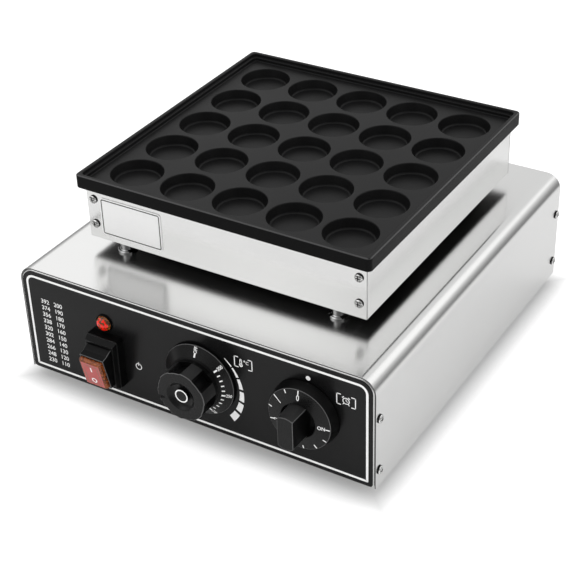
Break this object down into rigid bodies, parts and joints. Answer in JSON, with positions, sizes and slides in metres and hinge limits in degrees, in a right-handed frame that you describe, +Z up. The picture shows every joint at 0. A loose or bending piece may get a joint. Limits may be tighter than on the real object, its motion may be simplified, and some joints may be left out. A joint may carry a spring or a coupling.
{
  "type": "mini pancake griddle",
  "caption": "Countertop electric griddle with a square grid of round cups on a raised sheet steel hearth and a folded base with a rocker switch, thermostat knob and timer knob.",
  "frame": {"origin": "under the middle of the whole object, at table height", "axes": "+Z up, the control panel faces -Y, +X to the right of a user facing the panel"},
  "size_m": [0.3448, 0.4046, 0.185],
  "materials": {
    "stainless": "polished stainless sheet",
    "zinc_steel": "plain plated steel",
    "bright_screws": "bright plated screws and posts",
    "griddle": "cast aluminium with a dark satin non-stick coating",
    "panel_film": "black printed film",
    "rubber": "black rubber",
    "black_plastic": "black moulded plastic",
    "red_lens": "clear red plastic",
    "element": "heat-stained steel tube",
    "brass": "brass",
    "copper": "copper tube",
    "insulation": "ceramic fibre board",
    "pale_plastic": "pale heat-proof moulding",
    "wire_white": "silicone-insulated wire",
    "wire_red": "silicone-insulated wire"
  },
  "bodies": {
    "griddle": {"base_cover": "stainless", "front_panel": "stainless", "panel_overlay": "panel_film", "rear_panel": "stainless", "bottom_plate": "zinc_steel", "rubber_feet": "rubber", "foot_screws": "zinc_steel", "foot_nuts": "zinc_steel", "side_screws": "bright_screws", "hearth_front": "stainless", "hearth_rear": "stainless", "hearth_left": "stainless", "hearth_right": "stainless", "hearth_floor": "zinc_steel", "hearth_screws": "bright_screws", "griddle_plate": "griddle", "griddle_studs": "zinc_steel", "clamp_nuts": "zinc_steel", "floor_nuts": "zinc_steel", "clamp_bars": "zinc_steel", "heating_element": "element", "element_terminals": "brass", "insulation_pad": "insulation", "support_posts": "bright_screws", "post_bolts": "zinc_steel", "post_nuts": "zinc_steel", "wire_sleeve": "pale_plastic", "indicator_lens": "red_lens", "indicator_body": "black_plastic", "indicator_nut": "black_plastic", "switch_bezel": "black_plastic", "switch_body": "black_plastic", "switch_terminals": "brass", "thermostat_body": "pale_plastic", "thermostat_screws": "zinc_steel", "sensor_bulb": "copper", "bulb_clip": "zinc_steel", "capillary_tube": "copper", "timer_body": "pale_plastic", "timer_screws": "zinc_steel", "terminal_block": "pale_plastic", "block_screws": "zinc_steel", "cable_gland": "black_plastic", "gland_locknut": "black_plastic", "earth_stud": "brass", "element_wires": "wire_white", "control_wires": "wire_red"},
    "rocker": {"rocker_frame": "black_plastic", "rocker_lens": "red_lens", "rocker_pin": "zinc_steel"},
    "thermostat_dial": {"thermostat_knob": "black_plastic", "knob_cap": "black_plastic", "thermostat_shaft": "zinc_steel"},
    "timer_dial": {"timer_knob": "black_plastic", "timer_shaft": "zinc_steel"}
  },
  "joints": [
    {"name": "power_rocker", "type": "hinge", "parent": "griddle", "child": "rocker", "pos_m": [-0.082, -0.17825, 0.05], "axis": [-1, 0, 0], "range_deg": [0, 26]},
    {"name": "thermostat_turn", "type": "hinge", "parent": "griddle", "child": "thermostat_dial", "pos_m": [0.011, -0.17025, 0.0615], "axis": [0, 1, 0], "range_deg": [0, 312]},
    {"name": "timer_turn", "type": "hinge", "parent": "griddle", "child": "timer_dial", "pos_m": [0.109, -0.17025, 0.064], "axis": [0, 1, 0], "range_deg": [-92, 240]}
  ]
}
